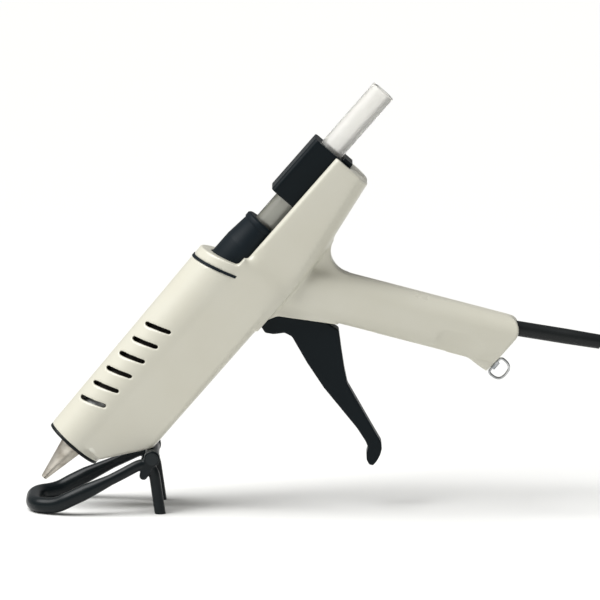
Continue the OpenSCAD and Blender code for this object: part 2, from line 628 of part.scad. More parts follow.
lead_start = placed(cord_at(sleeve_len));
lead_dir = turned(cord_out);
tie_thick = 0.9;
lie_z = cord_r + tie_thick + 0.1;
// Route of the hanging lead: distance out from the sleeve, the share of the sleeve's height left, and
// the share of the way to the side of the coil
lead_route = [[17, 0.957, 0.015], [25, 0.9, 0.06], [31, 0.83, 0.13], [35, 0.745, 0.21], [38.5, 0.62, 0.34],
              [42, 0.49, 0.48], [45.5, 0.36, 0.61], [49, 0.235, 0.75], [53.5, 0.14, 0.85],
              [60.5, 0.065, 0.93], [69.5, 0.017, 0.985], [79, 0, 1], [88, 0, 1]];
lead_side = -32.5;
coil_straight = 2;
coil_at = lead_start + [88 + coil_straight, lead_side + coil_r, 0];
turns = 5.6;
layer = cord_d + 0.7;
function coil_radius(t) = coil_r - coil_step * (turns / 2 - abs(t - turns / 2));
function coil_height(t) = lie_z + layer * max(0, min(1, (t - turns / 2) * 2 + 0.5));
function coil_point(t) = [coil_at[0] + coil_radius(t) * cos(360 * t - 90),
                          coil_at[1] + coil_radius(t) * sin(360 * t - 90), coil_height(t)];
plug_thick = 13.6;
coil_end = coil_point(turns);
plug_rise = cord_r + plug_thick / 2 + 0.3;
// Route over the coil to the plug: shares of the coil's radius from its middle, and of the rise to the plug
tail_route = [[-0.77, 0.65, 0], [-0.92, 0.43, 0.055], [-1, 0.21, 0.16], [-1.03, 0, 0.31],
              [-1.01, -0.155, 0.46], [-0.95, -0.3, 0.6], [-0.855, -0.43, 0.72], [-0.73, -0.525, 0.82],
              [-0.585, -0.585, 0.915], [-0.43, -0.605, 1]];
lead_path = smooth([lead_start, lead_start + 8 * lead_dir, for (p = lead_route)
    [lead_start[0] + p[0], p[2] * lead_side, lie_z + p[1] * (lead_start[2] - lie_z)]], 3);
coil_path = [for (i = [0:turns * 24]) coil_point(i / 24)];
tail_path = smooth([coil_end, for (p = tail_route)
    [coil_at[0] + p[0] * coil_r, coil_at[1] + p[1] * coil_r, coil_end[2] + p[2] * plug_rise]], 2);
wound = concat([coil_path[0] - [coil_straight, 0, 0]], coil_path,
               [for (i = [1:len(tail_path) - 1]) tail_path[i]]);
plug_at = tail_path[len(tail_path) - 1];
coil_gap = min([for (i = [0:len(wound) - 1]) for (j = [i + 12:1:len(wound) - 1])
    norm(wound[i] - wound[j])]) - cord_d;
function path_length(p) = let (d = [for (i = [1:len(p) - 1]) norm(p[i] - p[i - 1])]) d * [for (x = d) 1];
echo(coil_gap = coil_gap, cord_length = path_length(lead_path) + path_length(wound));
module cord_lead() color(soft_black) tube(lead_path, cord_r, 8);
module cord_coil() color(soft_black) tube(wound, cord_r, 6, [0, 0, 1]);
module cord_tie() color(dark_grey) translate([coil_at[0], coil_at[1], 0]) rotate([0, 0, -45]) {
    inner = coil_r - turns / 2 * coil_step - cord_r - 0.6;
    outer = coil_r + cord_r + 0.6;
    top = lie_z + layer + cord_r + 0.3;
    difference() {
        translate([-4, inner - tie_thick, 0]) cube([8, outer - inner + 2 * tie_thick, top + tie_thick]);
        translate([-5, inner, tie_thick]) cube([10, outer - inner, top - tie_thick]);
    }
}
plug_len = 36;
plug_pin_d = 4.8;
plug_pin_len = 19;
plug_spacing = 19;
pin_root_d = plug_pin_d + 1.4;
pin_root_len = 11.9;
module plug_body() color(soft_black) translate(plug_at) difference() {
    translate([0, 0, -plug_thick / 2]) linear_extrude(plug_thick) polygon([
        [0, -5.6], [10, -6.4], [22, -15], [26, -17], [plug_len, -17], [plug_len, 17], [26, 17], [22, 15],
        [10, 6.4], [0, 5.6]]);
    plug_spots() translate([0, 0, -1]) cylinder(d = pin_root_d + 2 * fit, h = pin_root_len + 1.1);
}
// Places of the two pins on the plug's face, with Z into the body
module plug_spots() for (s = [-1, 1]) translate([plug_len, s * plug_spacing / 2, 0])
    rotate([0, -90, 0]) children();
module plug_pins() color(metal_grey) translate(plug_at) plug_spots() {
    cylinder(d = pin_root_d, h = pin_root_len);
    translate([0, 0, -plug_pin_len]) cylinder(d = plug_pin_d, h = plug_pin_len);
}

// Hang loop on the butt
wire_r = 0.8;
eye_r = 2;
eye_stem_r = 1.4;
loop_at = [butt_u(-handle_depth / 2) + 1.4, 0, -butt_depth];
loop_axis = loop_at - [0, 0, eye_r + 0.1];
module loop_eye() color(metal_grey) tool() {
    difference() {
        union() {
            translate(loop_axis) cylinder(r = eye_stem_r, h = 11);
            along_u(loop_axis[0] - 2.6, loop_axis[2]) cylinder(r = eye_r, h = 5.2);
        }
        along_u(loop_axis[0] - 20, loop_axis[2]) cylinder(r = wire_r + pin_gap, h = 40);
    }
}
module hang_loop() color(metal_grey) tool() translate(loop_axis) {
    for (s = [-1, 1]) along_u(s < 0 ? -4.8 : 0.4) cylinder(r = wire_r, h = 4.4);
    tube(bent([[-3.4, 0, 0], [-6.2, 0, 0], [-6.2, 0, -5.6], [-4.2, 0, -8.6], [0, 0, -9.4], [4.2, 0, -8.6],
        [6.2, 0, -5.6], [6.2, 0, 0], [3.4, 0, 0]], 1.2, 3), wire_r - 0.04, 8);
}

// Folding stand, drawn in the row frame about its hinge
stand_at = placed(hinge);
front_z = rod_r - 0.3 - stand_h;
bulge = stand_half_w + 8.6;
hub_half = rod_r + 0.15;
hub_boss = 1.1;
function stand_side(s) = [[5.6, s * (stand_half_w + 0.2), -stand_h - 4], [0, s * stand_half_w, 0],
    [-24, s * (bulge - 0.8), -12.2], [-50, s * bulge, -24.4],
    [14 - stand_reach, s * (bulge - 3), front_z + 0.4], [-stand_reach, s * (bulge - 11), front_z]];
module stand_rod() color(soft_black) translate(stand_at) difference() {
    union() {
        tube(bent(concat(stand_side(-1), [for (i = [5:-1:0]) stand_side(1)[i]]), 6.4, 4), rod_r, 12);
        for (s = [-1, 1]) translate([0, s * (stand_half_w + hub_boss / 2), 0])
            across_y(2 * hub_half + hub_boss) {
            circle(pin_r + 3);
            rotate(244) translate([0, -2.8]) square([12, 5.6]);
            rotate(244) translate([12, 0]) circle(2.6);
        }
    }
    rotate([90, 0, 0]) cylinder(r = pin_r + pin_gap, h = 120, center = true);
    translate([-big / 2, -big / 2, -stand_h - 50]) cube([big, big, 50]);
}
bracket_half = nose_r - 0.4;
washer_out = stand_half_w - hub_half - run_gap;
pin_end = stand_half_w + hub_half + hub_boss + run_gap;
// Bracket let into the keel's underside, with the barrel that the stand turns on
module bracket_tongue(gap) translate([hinge[0], -12 - gap, -keel_depth])
    cube([18 + gap, 24 + 2 * gap, wall]);
module stand_bracket() color(soft_black) tool() difference() {
    union() {
        pin_at(hinge, pin_r + 2.3, 2 * bracket_half);
        bracket_tongue(0);
    }
    pin_at(hinge, pin_r, 120);
}
module stand_pin() color(metal_grey) tool() {
    pin_at(hinge, pin_r - fit, 2 * pin_end);
    for (s = [-1, 1]) translate(hinge + [0, s * (pin_end + 0.7), 0]) rotate([90, 0, 0])
        cylinder(r = pin_r + 1.8, h = 1.4, center = true);
}
module stand_washers() color(metal_grey) tool() for (s = [-1, 1])
    translate(hinge + [0, s * (washer_out + bracket_half) / 2, 0]) rotate([90, 0, 0]) difference() {
        cylinder(r = pin_r + 2.4, h = washer_out - bracket_half - fit, center = true);
        cylinder(r = pin_r, h = 10, center = true);
    }

// Places that the record states, in the row frame
echo(stick_dir = turned([1, 0, 0]), up_dir = turned([0, 0, 1]), stroke = feed_stroke);
echo(pivot = placed(pivot), hinge = stand_at, jaw = placed(jaw_at), loop = placed(loop_axis));
echo(lead_start = lead_start, lead_dir = lead_dir, coil = coil_at, plug = plug_at, tip = placed([0, 0, 0]));

left_shell();
right_shell();
front_plate();
rear_seal();
case_screws();
nozzle();
valve_ball();
valve_spring();
melt_chamber();
heater_cartridge();
insulation_wrap();
front_support();
rear_support();
inlet_sleeve();
thermostat();
thermal_fuse();
feed_guide();
carriage();
draw_bar();
drive_pin();
grip_jaw();
jaw_pin();
glue_stick();
trigger();
trigger_pin();
return_spring();
terminal_block();
terminal_screws();
heater_leads();
cord_clamp();
clamp_screws();
strain_relief();
cord_inner();
cord_lead();
cord_coil();
cord_tie();
plug_body();
plug_pins();
hang_loop();
loop_eye();
stand_bracket();
stand_rod();
stand_pin();
stand_washers();
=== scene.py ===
import json
import math

import bmesh
import bpy
from mathutils import Matrix, Vector


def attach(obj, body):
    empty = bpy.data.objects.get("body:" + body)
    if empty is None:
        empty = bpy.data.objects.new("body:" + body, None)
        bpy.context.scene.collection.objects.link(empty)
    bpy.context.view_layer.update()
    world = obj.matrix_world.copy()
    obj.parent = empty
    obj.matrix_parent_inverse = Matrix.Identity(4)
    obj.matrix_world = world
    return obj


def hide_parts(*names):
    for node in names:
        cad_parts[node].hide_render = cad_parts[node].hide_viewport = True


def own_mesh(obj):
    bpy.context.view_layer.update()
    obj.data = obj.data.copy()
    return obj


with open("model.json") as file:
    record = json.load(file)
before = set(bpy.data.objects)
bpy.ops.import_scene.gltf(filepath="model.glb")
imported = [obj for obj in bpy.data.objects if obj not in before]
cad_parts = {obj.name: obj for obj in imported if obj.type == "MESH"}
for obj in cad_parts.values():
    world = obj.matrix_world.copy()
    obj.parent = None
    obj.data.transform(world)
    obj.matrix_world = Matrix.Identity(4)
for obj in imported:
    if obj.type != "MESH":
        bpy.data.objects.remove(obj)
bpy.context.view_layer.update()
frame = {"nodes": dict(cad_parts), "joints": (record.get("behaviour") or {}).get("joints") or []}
scene = bpy.context.scene
nodes = frame["nodes"]
joints = {joint["name"]: joint for joint in frame["joints"]}
MM = 0.001

# Studio: a plain pale paper floor and soft white light from above, in front and to the left. The paper's
# fibres are drawn coarse so that they show.
# The camera looks at the tool's left side from a little above, from far away with a long lens.
CAMERA_TARGET = Vector((17.6, 0, 131.1)) * MM
CAMERA_RISE = math.radians(9.3)
CAMERA_AWAY = 6.0
FRAME_WIDTH = 375 * MM


def linear(code):
    """Linear colour, with alpha, of an sRGB hex code."""
    channels = [int(code[i:i + 2], 16) / 255 for i in (1, 3, 5)]
    return [c / 12.92 if c <= 0.04045 else ((c + 0.055) / 1.055) ** 2.4 for c in channels] + [1]


def add(tree, kind, inputs=None, **settings):
    """A new node with its own settings; inputs are values, or the sockets that are linked there."""
    node = tree.nodes.new(kind)
    for name, value in settings.items():
        setattr(node, name, value)
    for socket, value in (inputs or {}).items():
        if isinstance(value, bpy.types.NodeSocket):
            tree.links.new(value, node.inputs[socket])
        else:
            node.inputs[socket].default_value = value
    return node


def new_material(name):
    """An empty material and its node tree."""
    material = bpy.data.materials.new(name)
    material.use_nodes = True
    material.node_tree.nodes.clear()
    return material, material.node_tree


def surface(tree, inputs):
    """Closes a material with its shader."""
    shader = add(tree, "ShaderNodeBsdfPrincipled", inputs)
    add(tree, "ShaderNodeOutputMaterial", {"Surface": shader.outputs["BSDF"]})


def linked(name, data):
    """A new object in the scene."""
    obj = bpy.data.objects.new(name, data)
    scene.collection.objects.link(obj)
    return obj


camera = linked("camera", bpy.data.cameras.new("camera"))
camera.data.lens = camera.data.sensor_width * CAMERA_AWAY / FRAME_WIDTH
camera.data.clip_end = 100
away = Vector((0, -math.cos(CAMERA_RISE), math.sin(CAMERA_RISE)))
camera.location = CAMERA_TARGET + CAMERA_AWAY * away
camera.rotation_euler = away.to_track_quat("Z", "Y").to_euler()
scene.camera = camera

FLOOR_HALF = 12
FIBRE_MM = 3
FIBRE_DEPTH_MM = 0.02
paper, tree = new_material("studio_paper")
coords = add(tree, "ShaderNodeTexCoord")
fibres = add(tree, "ShaderNodeTexNoise", {"Vector": coords.outputs["Object"], "Scale": 1000 / FIBRE_MM})
tooth = add(tree, "ShaderNodeBump", {"Height": fibres.outputs["Fac"], "Distance": FIBRE_DEPTH_MM * MM})
surface(tree, {"Base Color": linear("#EEEEEC"), "Roughness": 0.9, "Normal": tooth.outputs["Normal"]})
bm = bmesh.new()
bmesh.ops.create_grid(bm, x_segments=1, y_segments=1, size=FLOOR_HALF)
floor = linked("floor", bpy.data.meshes.new("floor"))
bm.to_mesh(floor.data)
bm.free()
floor.data.materials.append(paper)

world = bpy.data.worlds.new("studio")
scene.world = world
world.use_nodes = True
sky = world.node_tree.nodes["Background"].inputs
sky["Color"].default_value = linear("#FFFFFF")
sky["Strength"].default_value = 0.27
scene.view_settings.view_transform = "Standard"

OVERHEAD_FROM = Vector((-0.5, -0.15, 1))
overhead = linked("overhead_light", bpy.data.lights.new("overhead_light", "SUN"))
overhead.data.energy = 3.3
overhead.data.angle = math.radians(50)
overhead.rotation_euler = OVERHEAD_FROM.to_track_quat("Z", "Y").to_euler()
KEY_PLACE = Vector((-0.5, -0.3, 0.75))
key = linked("key_light", bpy.data.lights.new("key_light", "AREA"))
key.data.shape = "DISK"
key.data.size = 0.4
key.data.energy = 1.5
key.location = KEY_PLACE
key.rotation_euler = (KEY_PLACE - CAMERA_TARGET).to_track_quat("Z", "Y").to_euler()

# The tool's own frame: it stands nose-down, so its pieces are drawn in millimetres with X back along
# the glue stick from the nozzle's tip, Z up away from the trigger and Y across to the right.
PIVOT_AT = (172, -34)
STICK_DIR = -Vector(joints["carriage_feed"]["axis"])
UP_DIR = STICK_DIR.cross(Vector((0, 1, 0)))
pivot = Vector(joints["trigger_pull"]["pos_m"])
tip = pivot - MM * (PIVOT_AT[0] * STICK_DIR + PIVOT_AT[1] * UP_DIR)
TOOL = Matrix.Translation(tip) @ Matrix((STICK_DIR, (0, 1, 0), UP_DIR)).transposed().to_4x4()
TOOL = TOOL @ Matrix.Scale(MM, 4)


def finished(name, bm, material, body, replaced, place=TOOL, sharp=40):
    """Makes a piece of a mesh drawn in millimetres, and lets it ride on a body in a node's stead."""
    bm.transform(place)
    mesh = bpy.data.meshes.new(name)
    bm.to_mesh(mesh)
    bm.free()
    mesh.materials.append(material)
    mesh.shade_smooth()
    if sharp:
        mesh.set_sharp_from_angle(angle=math.radians(sharp))
    piece = linked(name, mesh)
    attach(piece, body)
    if replaced:
        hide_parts(*replaced)
    return piece


def dress(material, *names):
    """Gives CAD nodes that stay as they are their material."""
    for name in names:
        nodes[name].data.materials.clear()
        nodes[name].data.materials.append(material)


def copied(node, place=TOOL):
    """A merged copy of a CAD node's mesh, back in millimetres."""
    bm = bmesh.new()
    bm.from_mesh(nodes[node].data)
    bmesh.ops.remove_doubles(bm, verts=bm.verts, dist=0.001 * MM)
    bm.transform(place.inverted())
    return bm


def remeshed(bm, voxel):
    """The same closed form as one even skin, so that smoothing rounds its edges alike."""
    work = linked("work", bpy.data.meshes.new("work"))
    bm.to_mesh(work.data)
    bm.free()
    skin = work.modifiers.new("skin", "REMESH")
    skin.mode = "VOXEL"
    skin.voxel_size = voxel
    even = bmesh.new()
    even.from_object(work, bpy.context.evaluated_depsgraph_get())
    mesh = work.data
    bpy.data.objects.remove(work)
    bpy.data.meshes.remove(mesh)
    return even


def smoothed(bm, passes, verts=None):
    """Draws vertices, or all of them, towards their neighbours."""
    for _ in range(passes):
        bmesh.ops.smooth_vert(bm, verts=verts or bm.verts, factor=0.5,
                              use_axis_x=True, use_axis_y=True, use_axis_z=True)


# Moulded plastics: injection moulded with a spark-eroded grain in the tool, which gives an even satin
# face, a faint cloudiness where the melt flowed, and a shade more gloss where hands have worn it. Edges are
# rubbed a little paler, and inside corners are painted darker, as painted shade. The grain is drawn
# coarser than it is, to show.
EDGE_BEND = (0.52, 0.6)
CREASE_SHADE_BEND = (0.49, 0.44)
WEAR_AND_SHADE_SHARE = 0.7
WORN_FLOW = (0.15, 0.85)
WEAR = 0.06
GRAIN_STRENGTH = 0.6


def moulded_plastic(name, colour, flow_colour, roughness, grain_mm, grain_depth_mm, flow_mm=30, ior=1.54,
                    gloss=0.5, edge_colour=None, crease_shade_colour=None):
    """Plastic, rubber or a coat: colour and gloss vary with the flow, and a fine grain roughens it."""
    material, tree = new_material(name)
    coords = add(tree, "ShaderNodeTexCoord").outputs["Object"]
    flow = add(tree, "ShaderNodeTexNoise", {"Vector": coords, "Scale": 1000 / flow_mm, "Detail": 4})
    blend = add(tree, "ShaderNodeMix", {"Factor": flow.outputs["Fac"], "A": linear(colour),
                                        "B": linear(flow_colour)}, data_type="RGBA")
    tint = blend.outputs["Result"]
    bend = add(tree, "ShaderNodeNewGeometry").outputs["Pointiness"]
    # Edges get a paler worn tint; inside corners get painted shade, a darker tone where shade would fall.
    for shade, (low, high) in ((edge_colour, EDGE_BEND), (crease_shade_colour, CREASE_SHADE_BEND)):
        if shade:
            share = add(tree, "ShaderNodeMapRange", {"Value": bend, "From Min": low, "From Max": high,
                                                     "To Max": WEAR_AND_SHADE_SHARE})
            tint = add(tree, "ShaderNodeMix", {"Factor": share.outputs["Result"], "A": tint,
                                               "B": linear(shade)}, data_type="RGBA").outputs["Result"]
    grain = add(tree, "ShaderNodeTexNoise", {"Vector": coords, "Scale": 1000 / grain_mm, "Detail": 3})
    worn = add(tree, "ShaderNodeMapRange", {"Value": flow.outputs["Fac"], "From Min": WORN_FLOW[0],
                                            "From Max": WORN_FLOW[1], "To Min": roughness - WEAR,
                                            "To Max": roughness + WEAR})
    bump = add(tree, "ShaderNodeBump", {"Height": grain.outputs["Fac"], "Strength": GRAIN_STRENGTH,
                                        "Distance": grain_depth_mm * MM})
    surface(tree, {"Base Color": tint, "Roughness": worn.outputs["Result"], "IOR": ior,
                   "Specular IOR Level": gloss, "Normal": bump.outputs["Normal"]})
    return material


# Housing: two injection moulded ABS halves that meet on the tool's middle plane. Barrel, keel, feed
# trough and handle run into each other in soft fillets, and every edge has a moulding's small radius.
# Five screws from the right side hold them together.
# The ivory's darker tone in its inside corners is painted shade.
ivory_abs = moulded_plastic("ivory_abs", "#D0CEC1", "#C9C6B6", roughness=0.31, grain_mm=0.5,
                            grain_depth_mm=0.02, edge_colour="#E8E7DC", crease_shade_colour="#B2AE98")
SHELL_VOXEL = 0.7
SHELL_THINNING = 0.68
# Fillets are (station, height, radius), and blends (station, half width, low, high, passes).
FILLETS = [(40, -18, 10), (180, -18, 22), (205, -40, 26), (222, -52, 26), (190, -45, 22), (229, -138, 16)]
FILL_ROUNDS = 8
FILL_PASSES = 6
DISHED = 0.002
CHANNEL_FROM = 178
CHANNEL_HALF = 16.2
CHANNEL_FLOOR = -17
BLENDS = [(188, 15, -37, -5, 60), (188, 9, -36, -3, 60)]
SKIRT = [(162, -36), (174.7, -42.4), (195.3, -74.4), (199, -62), (190, -36)]
SKIRT_IN = 8.4
SKIRT_THICK = 2.8
HANDLE_ROOT = Vector((190.6, 0, -30))
HANDLE_LEAN = math.radians(63.8)
HANDLE_RUN = Vector((math.cos(HANDLE_LEAN), 0, -math.sin(HANDLE_LEAN)))
HANDLE_UP = Vector((math.sin(HANDLE_LEAN), 0, math.cos(HANDLE_LEAN)))
HANDLE_LOW = -15
FLAT_HALF = 8.1
HOOK_FROM = 124
HOOK_LEN = 15.3
HOOK_DROP = 5.4
HOOK_ROUND = 0.36
HOOK_EASE = 20
WALL = 2.4
EDGE_PASSES = 3
LAST_PASSES = 2
LEVEL_PASSES = 24
LEVEL_TURN = 0.99


def verts_of(geom):
    """The vertices among what an operator made."""
    return [item for item in geom if isinstance(item, bmesh.types.BMVert)]


def add_skirt(bm, side):
    """Adds the cheek that hides the lever's root, where the barrel's keel meets the handle."""
    face = bm.faces.new([bm.verts.new((u, side * SKIRT_IN, v)) for u, v in SKIRT])
    drawn = bmesh.ops.extrude_face_region(bm, geom=[face], use_keep_orig=True)["geom"]
    bmesh.ops.translate(bm, verts=verts_of(drawn), vec=(0, side * SKIRT_THICK, 0))


def round_hook(shell):
    """Rounds the hook under the butt like the handle, and lets it grow out of the handle's lower edge."""
    shell.normal_update()
    for vert in shell.verts:
        along = (vert.co - HANDLE_ROOT).dot(HANDLE_RUN)
        share = min(1, max(0, (along - HOOK_FROM) / HOOK_LEN))
        low = HANDLE_LOW - HOOK_DROP * share * share * (3 - 2 * share)
        low += HOOK_ROUND * max(0, abs(vert.co.y) - FLAT_HALF) ** 2
        if vert.normal.dot(HANDLE_UP) > 0:
            low += WALL
        across = (vert.co - HANDLE_ROOT).dot(HANDLE_UP)
        if along > HOOK_FROM - HOOK_EASE and across < low:
            vert.co += (low - across) * HANDLE_UP


def in_fillet(point):
    """True near the corners that the moulding fills, clear of the feed channel."""
    if point.x > CHANNEL_FROM and abs(point.y) < CHANNEL_HALF and point.z > CHANNEL_FLOOR:
        return False
    return any(math.hypot(point.x - u, point.z - v) < r for u, v, r in FILLETS)


def hollow(vert):
    """True where the surface is dished, seen from outside."""
    mean = sum((edge.other_vert(vert).co for edge in vert.link_edges), Vector()) / len(vert.link_edges)
    return (mean - vert.co).dot(vert.normal) > DISHED


def level(vert):
    """True on the broad faces, away from every edge."""
    return all(edge.other_vert(vert).normal.dot(vert.normal) > LEVEL_TURN for edge in vert.link_edges)


for side, sign in (("left", -1), ("right", 1)):
    shell = copied(side + "_shell")
    add_skirt(shell, sign)
    shell = remeshed(shell, SHELL_VOXEL)
    round_hook(shell)
    smoothed(shell, EDGE_PASSES)
    corner = [vert for vert in shell.verts if in_fillet(vert.co)]
    for _ in range(FILL_ROUNDS):
        shell.normal_update()
        dished = [vert for vert in corner if hollow(vert)]
        if dished:
            smoothed(shell, FILL_PASSES, dished)
    for u, width, low, high, passes in BLENDS:
        smoothed(shell, passes, [vert for vert in shell.verts if abs(vert.co.x - u) < width
                                 and low < vert.co.z < high and abs(vert.co.y) > CHANNEL_HALF])
    smoothed(shell, LAST_PASSES)
    shell.normal_update()
    smoothed(shell, LEVEL_PASSES, [vert for vert in shell.verts if level(vert)])
    half = finished(side + "_half", shell, ivory_abs, "housing", [side + "_shell"], sharp=None)
    half.modifiers.new("thinned", "DECIMATE").ratio = SHELL_THINNING

# Front plate and nozzle: a moulded phenolic disc closes the barrel round a turned brass cone. The brass has
# gone dull and grey with heat, and its bore is drilled through to the tip.
PLATE_PROFILE = [(7.3, 28.1), (18.5, 28.1), (18.5, 30), (16.4, 30), (16.4, 32.6), (7.3, 32.6)]
CONE_PROFILE = [(0.9, 0), (1.8, 0), (7.2, 26), (7.2, 39), (6, 39), (6, 47), (4.4, 47), (4.4, 24),
                (3.4, 23), (0.9, 8)]
STAINED = (0.4, 0.62)
SHINED = 0.08
DULLED = 0.1
MARK_STRENGTH = 0.3
MARK_DEPTH_MM = 0.02


def turned(profile, rounding, steps=96):
    """A closed ring about the stick's axis, turned from points (radius, station), with soft corners."""
    bm = bmesh.new()
    bm.faces.new([bm.verts.new((station, 0, radius)) for radius, station in profile])
    bmesh.ops.bevel(bm, geom=bm.verts[:], offset=rounding, offset_type="OFFSET", segments=3, profile=0.5,
                    affect="VERTICES", clamp_overlap=True, material=-1)
    bmesh.ops.delete(bm, geom=bm.faces[:], context="FACES_ONLY")
    bmesh.ops.spin(bm, geom=bm.verts[:] + bm.edges[:], cent=(0, 0, 0), axis=(1, 0, 0),
                   angle=2 * math.pi, steps=steps, use_merge=True)
    bmesh.ops.remove_doubles(bm, verts=bm.verts, dist=0.001)
    bmesh.ops.recalc_face_normals(bm, faces=bm.faces)
    return bm


def metal(name, colour, stain, roughness, mark_mm, stain_mm=12):
    """Bare or plated metal: fine tool marks, drawn coarse to show, and stains that dull the shine."""
    material, tree = new_material(name)
    coords = add(tree, "ShaderNodeTexCoord").outputs["Object"]
    stains = add(tree, "ShaderNodeTexNoise", {"Vector": coords, "Scale": 1000 / stain_mm, "Detail": 5})
    fleck = add(tree, "ShaderNodeMapRange", {"Value": stains.outputs["Fac"], "From Min": STAINED[0],
                                             "From Max": STAINED[1]})
    blend = add(tree, "ShaderNodeMix", {"Factor": fleck.outputs["Result"], "A": linear(colour),
                                        "B": linear(stain)}, data_type="RGBA")
    marks = add(tree, "ShaderNodeTexNoise", {"Vector": coords, "Scale": 1000 / mark_mm, "Detail": 2})
    dull = add(tree, "ShaderNodeMapRange", {"Value": stains.outputs["Fac"], "To Min": roughness - SHINED,
                                            "To Max": roughness + DULLED})
    bump = add(tree, "ShaderNodeBump", {"Height": marks.outputs["Fac"], "Strength": MARK_STRENGTH,
                                        "Distance": MARK_DEPTH_MM * MM})
    surface(tree, {"Base Color": blend.outputs["Result"], "Roughness": dull.outputs["Result"],
                   "Metallic": 1.0, "Normal": bump.outputs["Normal"]})
    return material


black_phenolic = moulded_plastic("black_phenolic", "#0C1113", "#111618", roughness=0.4, grain_mm=0.6,
                                 grain_depth_mm=0.015, gloss=0.2)
heat_dulled_brass = metal("heat_dulled_brass", "#DAD4C9", "#B0A89B", roughness=0.45, mark_mm=0.5,
                          stain_mm=9)
plate = turned(PLATE_PROFILE, rounding=0.4)
finished("front_disc", plate, black_phenolic, "housing", ["front_plate"])
cone = turned(CONE_PROFILE, rounding=0.25)
finished("nozzle_cone", cone, heat_dulled_brass, "housing", ["nozzle"])

# Melt chamber and what is on it: a cast aluminium tube under a glass cloth wrap, heated by a steel
# cartridge, with a thermostat and a thermal fuse on its underside. A steel ball shuts the nozzle.
cast_aluminium = metal("cast_aluminium", "#B9BBBC", "#8E9092", roughness=0.5, mark_mm=0.8)
bright_steel = metal("bright_steel", "#C9CACB", "#A9ABAD", roughness=0.28, mark_mm=0.3)
zinc_steel = metal("zinc_plated_steel", "#BDC0C2", "#8F9396", roughness=0.36, mark_mm=0.4, stain_mm=5)
dress(cast_aluminium, "melt_chamber")
dress(bright_steel, "heater_cartridge", "valve_ball", "valve_spring", "jaw_pin", "drive_pin", "trigger_pin")
dress(zinc_steel, "thermal_fuse", "draw_bar", "grip_jaw", "case_screws", "terminal_screws",
      "clamp_screws", "loop_eye")
glass_cloth = moulded_plastic("heat_browned_glass_cloth", "#221D18", "#171310", roughness=0.85,
                              grain_mm=0.8, grain_depth_mm=0.15, flow_mm=6)
dress(glass_cloth, "insulation_wrap")
dress(black_phenolic, "thermostat", "front_support", "rear_support")

# Inlet sleeve and rear seal: silicone rubber, dark grey and a little chalky, moulded in one ring with a
# rear flange that guides the next stick.
INLET_PROFILE = [(10.88, 171.2), (14.5, 171.2), (14.5, 193.2), (12.9, 208.5), (13.6, 208.5), (13.6, 211.5),
                 (12.6, 212.5), (8.25, 212.5), (8.25, 178.2), (10.88, 178.2)]
silicone = moulded_plastic("grey_silicone", "#0A141A", "#101A20", roughness=0.5, grain_mm=0.7,
                           grain_depth_mm=0.02, flow_mm=14, ior=1.43, gloss=0.2)
inlet = turned(INLET_PROFILE, rounding=0.3)
finished("stick_inlet", inlet, silicone, "housing", ["inlet_sleeve"])
dress(silicone, "rear_seal")

# Feed carriage, guide and trigger: glass-filled nylon, moulded black with a dry satin grain. The carriage
# slides in the trough, and the lever turns on a steel pin under the barrel.
JAW_POCKET_HALF = 2.8
TROUGH_END = 275
LIP_GAP = 0.2
LIP_TOP = -8.8
LIP_HALF = 10.5
black_nylon = moulded_plastic("glass_filled_nylon", "#050F13", "#091318", roughness=0.42, grain_mm=0.45,
                              grain_depth_mm=0.02, flow_mm=20, ior=1.53, gloss=0.14, edge_colour="#22282B")


def softened(node, voxel, passes, pocket_half=0):
    """A copy of a CAD node as one even skin with its edges rounded, apart from a pocket under the stick."""
    bm = remeshed(copied(node), voxel)
    smoothed(bm, passes, [vert for vert in bm.verts if vert.co.z > 0 or abs(vert.co.y) > pocket_half])
    return bm


carriage = softened("carriage", voxel=0.4, passes=4, pocket_half=JAW_POCKET_HALF)
finished("feed_carriage", carriage, black_nylon, "carriage", ["carriage"], sharp=None)
lever = softened("trigger", voxel=0.5, passes=8)
finished("trigger_lever", lever, black_nylon, "trigger", ["trigger"], sharp=None)
dress(black_nylon, "cord_clamp")
guide = copied("feed_guide")
for vert in guide.verts:
    if vert.co.x > TROUGH_END + LIP_GAP:
        vert.co.z = min(vert.co.z, LIP_TOP)
        vert.co.y = max(-LIP_HALF, min(LIP_HALF, vert.co.y))
guide = remeshed(guide, voxel=0.3)
smoothed(guide, passes=2)
finished("guide_strip", guide, black_nylon, "housing", ["feed_guide"], sharp=None)

# Glue stick: an extruded stick of hot-melt glue, milky and a little see-through, cut square. It glows
# softly where light passes through it, and the stub in front of the carriage is painted grey: painted shade
# for where it lies in the shadowed gap between the sleeve and the carriage.
STICK_R = 7.95
STICK_FROM = 150
STICK_TO = 324
STUB_END = 242
STUB_EDGE = 0.3
CLOUD_MM = 25
SCATTER = 6 * MM
hot_melt, tree = new_material("hot_melt")
coords = add(tree, "ShaderNodeTexCoord").outputs["Object"]
cloud = add(tree, "ShaderNodeTexNoise", {"Vector": coords, "Scale": 1000 / CLOUD_MM, "Detail": 3})
milk = add(tree, "ShaderNodeMix", {"Factor": cloud.outputs["Fac"], "A": linear("#F8F7F3"),
                                   "B": linear("#EEECE6")}, data_type="RGBA")
station = add(tree, "ShaderNodeVectorMath", {0: coords, 1: STICK_DIR}, operation="DOT_PRODUCT")
stub_at = STICK_DIR.dot(tip) + STUB_END * MM
